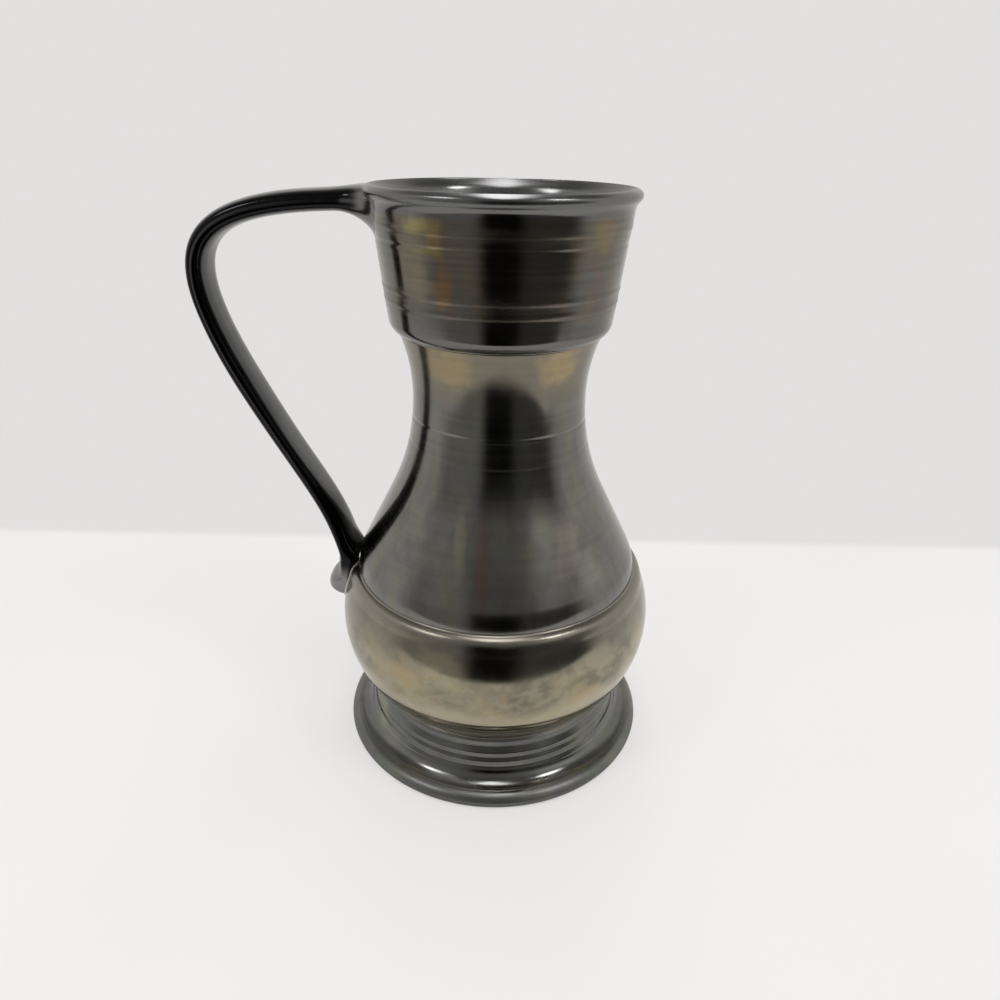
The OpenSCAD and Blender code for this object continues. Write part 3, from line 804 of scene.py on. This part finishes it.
# each place on the strap: its middle, its reach out, in and to each side, and how much it wraps the collar
def strapPlaces():
    over = (strapTop, topPull, knee + kneePull, knee)
    down = (knee, knee - backPull, strapFoot + handle["footShare"] * backPull, strapFoot)
    middles = [strapTop + Vector((handle["start"] * (1 - i / 3), 0, 0)) for i in range(3)]
    middles += [bezier(over, 0.1 * (i / 20) ** 2) for i in range(21)]  # closer together at the join
    middles += [bezier(over, 0.1 + 0.9 * i / 62) for i in range(1, 63)]
    middles += [bezier(down, i / 100) for i in range(1, 101)]
    places = []
    for m in middles:
        upper = hump(m.z, handle["upperZ"], handle["upperRun"])
        lower = hump(m.z, handle["lowerZ"], handle["lowerRun"])
        m = m + Vector((handle["upperIn"] * upper - handle["lowerOut"] * lower, 0, 0))
        gap = strapTop.x - m.x if m.z > knee.z else handle["reach"]  # below the knee no fillet is near
        up = max(0, m.z - strapFoot.z)
        low = hump(up, 0, handle["wideRun"])
        web = handle["footDeep"] * fade(up, handle["footRun"])
        rise = handle["topHigh"] * fade(gap, handle["highRun"])
        crown = min(halfThick + rise, max(halfThick, collar["top"] - handle["rimGap"] - m.z))
        out = crown - handle["upperSlim"] * upper - strapDip(m.z)
        flare = handle["topDeep"] * fillet(gap, handle["topRun"])
        deep = halfThick + flare + web - handle["lowerSlim"] * lower
        side = halfWide + handle["topWide"] * fillet(gap, handle["sideRun"]) + handle["footWide"] * low
        places.append((m, out, deep, side, fade(gap, handle["wrapRun"])))
    last = handle["heelZ"] - handle["heelDown"]
    for i in range(1, handle["heelSteps"] + 1):
        t = i / handle["heelSteps"]
        z = strapFoot.z + (last - strapFoot.z) * (1 - (1 - t) ** handle["heelPace"])
        x = strapFoot.x - handle["heelShift"] * t
        half = handle["heelUp"] if z > handle["heelZ"] else handle["heelDown"]
        lobe = math.sqrt(max(0, 1 - ((z - handle["heelZ"]) / half) ** 2))
        strapOut = -strapFoot.x + halfThick - handle["heelSlim"] * t - strapDip(z)
        end = math.sqrt(max(0, 1 - max(0, (handle["heelZ"] - z) / handle["heelDown"]) ** 2))
        out = softMax(strapOut, handle["heelWall"] + handle["heelOut"] * lobe, handle["heelBlend"]) + x
        web = handle["footDeep"] * fade(strapFoot.z - z, handle["footRun"])
        side = halfWide + handle["footWide"] * hump(z, strapFoot.z, handle["wideRun"])
        taper = handle["tip"] + (1 - handle["tip"]) * end
        deep = halfThick * (handle["tipDeep"] + (1 - handle["tipDeep"]) * end) + web
        places.append((Vector((x, 0, z)), out * taper, deep, side * taper, 0))
    return places


# sweeps a flattened oval along the path, as far out, in and sideways as each place says
def makeStrapTree():
    tree, given, out = openGroup("pullStrap", "GeometryNodeTree", [
        ("Path", "Geometry", None),
        ("Sides", "Int", 64),
        ("Squareness", "Float", 0.6),
        ("Collar Radius", "Float", 0.044),
        ("Collar Lean", "Float", 0.12),
        ("Glaze", "Material", None),
    ], [("Piece", "Geometry")])
    line = made(tree, "GeometryNodeMeshToCurve", {"Mesh": given["Path"]})
    kept = put(tree, "GeometryNodeCaptureAttribute", {"Geometry": line}, domain="POINT")
    kept.capture_items.new("VECTOR", "Middle")
    kept.capture_items.new("VECTOR", "Along")
    tree.links.new(position(tree), kept.inputs["Middle"])
    tree.links.new(made(tree, "GeometryNodeInputTangent"), kept.inputs["Along"])
    ring = circle(tree, given["Sides"], 1.0)
    rim = put(tree, "GeometryNodeCaptureAttribute", {"Geometry": ring}, domain="POINT")
    rim.capture_items.new("VECTOR", "Spot")
    tree.links.new(position(tree), rim.inputs["Spot"])
    swept = made(tree, "GeometryNodeCurveToMesh", {
        "Curve": kept.outputs["Geometry"], "Profile Curve": rim.outputs["Geometry"],
        "Fill Caps": True})
    spot = axes(tree, rim.outputs["Spot"])

    def squared(value):
        size = calc(tree, "POWER", calc(tree, "ABSOLUTE", value), given["Squareness"])
        return calc(tree, "MULTIPLY", calc(tree, "SIGN", value), size)

    def reach(name):
        return made(tree, "GeometryNodeInputNamedAttribute", {"Name": name}, data_type="FLOAT")

    inward = vec(tree, "CROSS_PRODUCT", kept.outputs["Along"], (0.0, 1.0, 0.0))
    inSide = calc(tree, "GREATER_THAN", spot[1], 0.0)
    deep = made(tree, "ShaderNodeMix", {
        0: inSide, 2: reach("reachOut"), 3: reach("reachIn")}, data_type="FLOAT")
    thin = calc(tree, "MULTIPLY", squared(spot[1]), deep)
    broad = calc(tree, "MULTIPLY", squared(spot[0]), reach("reachSide"))
    across = scaled(tree, inward, thin)
    radius = given["Collar Radius"]
    chord = calc(tree, "SUBTRACT", calc(tree, "POWER", radius, 2.0), calc(tree, "POWER", broad, 2.0))
    bow = calc(tree, "SUBTRACT", radius, calc(tree, "SQRT", calc(tree, "MAXIMUM", chord, 0.0)))
    bow = calc(tree, "MULTIPLY_ADD", thin, given["Collar Lean"], bow)
    wrapped = calc(tree, "MULTIPLY", bow, reach("wrap"))
    sideways = made(tree, "ShaderNodeCombineXYZ", {0: wrapped, 1: broad})
    place = vec(tree, "ADD", kept.outputs["Middle"], vec(tree, "ADD", across, sideways))
    moved = made(tree, "GeometryNodeSetPosition", {"Geometry": swept, "Position": place})
    edge = put(tree, "GeometryNodeStoreNamedAttribute", {
        "Geometry": moved, "Name": "strapSide", "Value": spot[1]}, data_type="FLOAT", domain="POINT")
    glazeForm(tree, edge.outputs[0], given, out)
    return tree


strapTree = makeStrapTree()
places = strapPlaces()
path = bpy.data.meshes.new("strapPath")
path.from_pydata([row[0] * mm for row in places], [(i, i + 1) for i in range(len(places) - 1)], [])
for column, name, unit in ((1, "reachOut", mm), (2, "reachIn", mm), (3, "reachSide", mm), (4, "wrap", 1)):
    held = path.attributes.new(name, "FLOAT", "POINT")
    for spot, row in zip(held.data, places):
        spot.value = row[column] * unit
# the handle's finish carries painted shade and a painted highlight line on the strap's sides, besides its
# lustre
handleLustreAndPaintedShade = makeLustre("handleLustreAndPaintedShade", handle["look"])
handlePiece = bake("pulledHandle", path, strapTree, {
    "Sides": handle["sides"], "Squareness": handle["square"], "Collar Radius": -strapTop.x * mm,
    "Collar Lean": math.tan(coneLean), "Glaze": handleLustreAndPaintedShade})
settle(handlePiece, "handle")

# seam beads: thin lines of slip where the strap is luted to the collar, and where the heel is pressed on
bead = {
    "radius": 0.5, "topRadius": 0.06, "sides": 14, "topPlace": 3, "topHalf": 170, "topStep": 2,
    "below": 95, "halvings": 40,
    "look": {
        "ground": (0.55, 0.53, 0.49),
        "blooms": [{"tone": (0.4, 0.38, 0.34), "amount": 0.6, "scale": 160, "run": 1.0, "shift": 0.2}],
        "lines": 500, "lineDepth": 0.3, "peel": 300, "peelDepth": 0.3,
        "clear": 0.3, "dull": 0.44, "haze": 90,
    },
}


def onStrap(i, t):
    middle, reachOut, reachIn, reachSide, wrap = places[i]
    along = (places[i + 1][0] - places[i - 1][0]).normalized()
    inward = along.cross(Vector((0, 1, 0)))
    c, w = math.cos(t), math.sin(t)
    c, w = math.copysign(abs(c) ** handle["square"], c), math.copysign(abs(w) ** handle["square"], w)
    thin, broad = c * (reachIn if c > 0 else reachOut), w * reachSide
    bow = -strapTop.x - math.sqrt(strapTop.x ** 2 - broad ** 2) + thin * math.tan(coneLean)
    return middle + inward * thin + Vector((bow * wrap, -broad, 0))


def topRun():
    half = bead["topHalf"]
    spots = [onStrap(bead["topPlace"], math.radians(a)) for a in range(-half, half + 1, bead["topStep"])]
    return [p for p in spots if p.z < collar["top"] - collar["rim"]]


beadLine = shoulderRing[1:-1]


def jugWall(z):
    for (r0, z0), (r1, z1) in zip(beadLine, beadLine[1:]):
        if z0 <= z < z1:
            return r0 + (r1 - r0) * (z - z0) / (z1 - z0)
    return bowlWall(z) if z < seam["to"] else tuckedWall(z)


def heelRun():
    run = []
    for i in range(len(places) - 1):
        if places[i][0].z > bead["below"]:
            continue

        def clear(t):
            p = onStrap(i, t)
            return math.hypot(p.x, p.y) - jugWall(p.z)

        low, high = 0.0, math.pi
        if clear(low) > 0 or clear(high) < 0:
            continue
        for step in range(bead["halvings"]):
            half = (low + high) / 2
            low, high = (half, high) if clear(half) < 0 else (low, half)
        run.append(onStrap(i, low))
    last = len(run) - 1
    eased = []
    for i in range(len(run)):
        near = [run[max(0, min(last, i + k))] for k in (-1, 0, 1)]
        eased.append(sum(near, Vector()) / len(near))
    return eased[::-1] + [Vector((p.x, -p.y, p.z)) for p in eased]


def makeBeadTree():
    tree, given, out = openGroup("laySlip", "GeometryNodeTree", [
        ("Path", "Geometry", None),
        ("Radius", "Float", 0.0005),
        ("Sides", "Int", 14),
        ("Spacing", "Float", 0.0004),
        ("Glaze", "Material", None),
    ], [("Piece", "Geometry")])
    line = made(tree, "GeometryNodeMeshToCurve", {"Mesh": given["Path"]})
    even = made(tree, "GeometryNodeResampleCurve", {
        "Curve": line, "Length": given["Spacing"]}, mode="LENGTH")
    wander = noise(tree, position(tree), scale=180.0, detail=1.0)
    ends = put(tree, "GeometryNodeSplineParameter").outputs["Factor"]
    nearest = calc(tree, "MINIMUM", ends, calc(tree, "SUBTRACT", 1.0, ends))
    taper = smooth(tree, nearest, 0.0, 0.05, 0.25, 1.0)
    size = calc(tree, "MULTIPLY", calc(tree, "MULTIPLY_ADD", wander, 0.7, 0.65), taper)
    laid = made(tree, "GeometryNodeCurveToMesh", {
        "Curve": even, "Profile Curve": circle(tree, given["Sides"], given["Radius"]),
        "Scale": size, "Fill Caps": True})
    glazeForm(tree, laid, given, out)
    return tree


beadTree = makeBeadTree()
for name, node, run, radius, glaze in (
    ("heelSeam", "lower_handle_slip", heelRun(), bead["radius"], makeLustre("heelLustre", bead["look"])),
    ("topSeam", "upper_handle_slip", topRun(), bead["topRadius"], collarLustre),
):
    laid = bpy.data.meshes.new(name + "Path")
    laid.from_pydata([p * mm for p in run], [(i, i + 1) for i in range(len(run) - 1)], [])
    piece = bake(name, laid, beadTree, {"Radius": radius * mm, "Sides": bead["sides"], "Glaze": glaze})
    settle(piece, node)
print("handle seams glazed")

# camera: close in front, a little above the rim
view = {"place": (0.0, -0.2646, 0.23015), "pitch": 26.09, "roll": 1.15, "yaw": 0.23, "focal": 742.6,
        "pixels": 1000, "sensor": 36}
turn, tilt, roll = (math.radians(view[k]) for k in ("yaw", "pitch", "roll"))
ahead = Vector((math.sin(turn), math.cos(turn), 0))
side = Vector((math.cos(turn), -math.sin(turn), 0))
upward = Vector((0, 0, 1))
aim = ahead * math.cos(tilt) - upward * math.sin(tilt)
top = ahead * math.sin(tilt) + upward * math.cos(tilt)
right = side * math.cos(roll) + top * math.sin(roll)
up = top * math.cos(roll) - side * math.sin(roll)
lens = bpy.data.cameras.new("jugCamera")
lens.sensor_width = view["sensor"]
lens.lens = view["sensor"] * view["focal"] / view["pixels"]
lens.clip_start = 0.01
camera = bpy.data.objects.new("jugCamera", lens)
scene.collection.objects.link(camera)
stand = Matrix((right, up, -aim)).transposed().to_4x4()
stand.translation = Vector(view["place"])
camera.matrix_world = stand
scene.camera = camera

# stage: a pale sheet that fades out under the camera, so that the jug mirrors the dim room past it
stage = {
    "half": 1.6, "front": -0.34, "back": 0.17, "fadeFrom": -0.19, "fadeTo": -0.23,
    "sideFrom": 0.31, "sideTo": 0.46, "endFrom": 0.143, "endTo": 0.155,
    "tone": (0.8, 0.795, 0.785), "faint": 0.97, "seen": (0.9, 0.885, 0.875), "even": 0.6,
}
half, front, back = stage["half"], stage["front"], stage["back"]
corners = [(-half, front, 0), (half, front, 0), (half, back, 0), (-half, back, 0)]
sheet = bpy.data.meshes.new("paleSheet")
sheet.from_pydata(corners, [], [(0, 1, 2, 3)])
floor = bpy.data.objects.new("paleSheet", sheet)
scene.collection.objects.link(floor)
paper = bpy.data.materials.new("palePaper")
paper.use_nodes = True
tree = paper.node_tree
place = ownPlace(tree)
spot = axes(tree, place)
grain = noise(tree, place, scale=9.0, detail=4.0)
shell = tree.nodes["Principled BSDF"]
faint = [c * stage["faint"] for c in stage["tone"]]
tone = blendColour(tree, smooth(tree, grain, 0.2, 0.8), rgba(stage["tone"]), rgba(faint))
tree.links.new(tone, shell.inputs["Base Color"])
shell.inputs["Roughness"].default_value = 0.85
shell.inputs["Specular IOR Level"].default_value = 0.1
kept = smooth(tree, spot[1], stage["endFrom"], stage["endTo"], 1.0, 0.0)
kept = calc(tree, "MULTIPLY", kept, smooth(tree, spot[1], stage["fadeTo"], stage["fadeFrom"]))
aside = calc(tree, "ABSOLUTE", spot[0])
kept = calc(tree, "MULTIPLY", kept, smooth(tree, aside, stage["sideFrom"], stage["sideTo"], 1.0, 0.0))
even = made(tree, "ShaderNodeEmission", {"Color": rgba(stage["seen"]), "Strength": 1.0})
evened = calc(tree, "MULTIPLY", put(tree, "ShaderNodeLightPath").outputs["Is Camera Ray"], stage["even"])
lit = made(tree, "ShaderNodeMixShader", {0: evened, 1: shell.outputs[0], 2: even})
clearPart = made(tree, "ShaderNodeBsdfTransparent")
drawn = made(tree, "ShaderNodeMixShader", {0: kept, 1: clearPart, 2: lit})
tree.links.new(drawn, tree.nodes["Material Output"].inputs["Surface"])
sheet.materials.append(paper)

# room: pale behind and at the sides, dim in front where the camera stands; turns and rises are in degrees
room = {
    "seen": (0.757, 0.745, 0.742), "fill": 0.58, "tint": (1.0, 0.99, 0.965),
    "left": 0.34, "right": 0.095, "turn": (-30.0, 10.0),
    "front": 0.005, "dim": (12.0, 26.0),
    "lifted": (0.26, 0.55), "liftTurn": (10.0, 60.0), "liftRise": (5.0, 26.0),
    "glow": 0.4, "glowTurn": (28.0, 44.0),
    "pale": 0.75, "paleTurn": (60.0, 84.0), "above": 0.2, "aboveRise": (30.0, 50.0),
}
world = bpy.data.worlds.new("paleRoom")
world.use_nodes = True
scene.world = world
tree = world.node_tree
way = axes(tree, put(tree, "ShaderNodeTexCoord").outputs["Generated"])
bearing = calc(tree, "DEGREES", calc(tree, "ARCTAN2", way[0], calc(tree, "MULTIPLY", way[1], -1.0)))
rise = calc(tree, "DEGREES", calc(tree, "ARCSINE", way[2]))
off = calc(tree, "ABSOLUTE", bearing)
level = smooth(tree, bearing, *room["turn"], room["left"], room["right"])
level = calc(tree, "MULTIPLY", level, smooth(tree, off, *room["dim"]))
level = calc(tree, "ADD", level, room["front"])
lifted = smooth(tree, off, *room["liftTurn"], *room["lifted"])
lifted = calc(tree, "ADD", lifted, smooth(tree, bearing, *room["glowTurn"], 0.0, room["glow"]))
level = between(tree, smooth(tree, rise, *room["liftRise"]), level, lifted)
level = between(tree, smooth(tree, off, *room["paleTurn"]), level, room["pale"])
level = between(tree, smooth(tree, rise, *room["aboveRise"]), level, room["above"])
rays = put(tree, "ShaderNodeLightPath").outputs
tints = {i: calc(tree, "MULTIPLY", level, share) for i, share in enumerate(room["tint"])}
mirrored = put(tree, "ShaderNodeCombineColor", tints).outputs[0]
mirror = calc(tree, "MAXIMUM", rays["Is Glossy Ray"], rays["Is Transmission Ray"])
shown = blendColour(tree, mirror, rgba([room["fill"]] * 3), mirrored)
shown = blendColour(tree, rays["Is Camera Ray"], shown, rgba(room["seen"]))
backdrop = tree.nodes["Background"]
tree.links.new(shown, backdrop.inputs["Color"])
backdrop.inputs["Strength"].default_value = 1.0

# lamps: a long soft box overhead and a small one to each side
lamps = {
    "overhead": {"place": (0.0, 0.04, 1.1), "wide": 0.3, "long": 1.38, "power": 5.4},
    "overLeft": {"place": (-0.69, -0.46, 0.9), "wide": 0.28, "long": 0.28, "power": 1.55},
    "overRight": {"place": (0.62, -0.4, 0.98), "wide": 0.28, "long": 0.28, "power": 1.8},
}
lampAim = Vector((0, 0, 0.1))
for name, lamp in lamps.items():
    glow = bpy.data.lights.new(name, "AREA")
    glow.shape = "ELLIPSE"
    glow.size = lamp["wide"]
    glow.size_y = lamp["long"]
    glow.energy = lamp["power"]
    box = bpy.data.objects.new(name, glow)
    scene.collection.objects.link(box)
    box.location = lamp["place"]
    box.rotation_euler = (lampAim - box.location).to_track_quat("-Z", "Y").to_euler()
    box.visible_camera = False
print("camera, stage and lamps set")
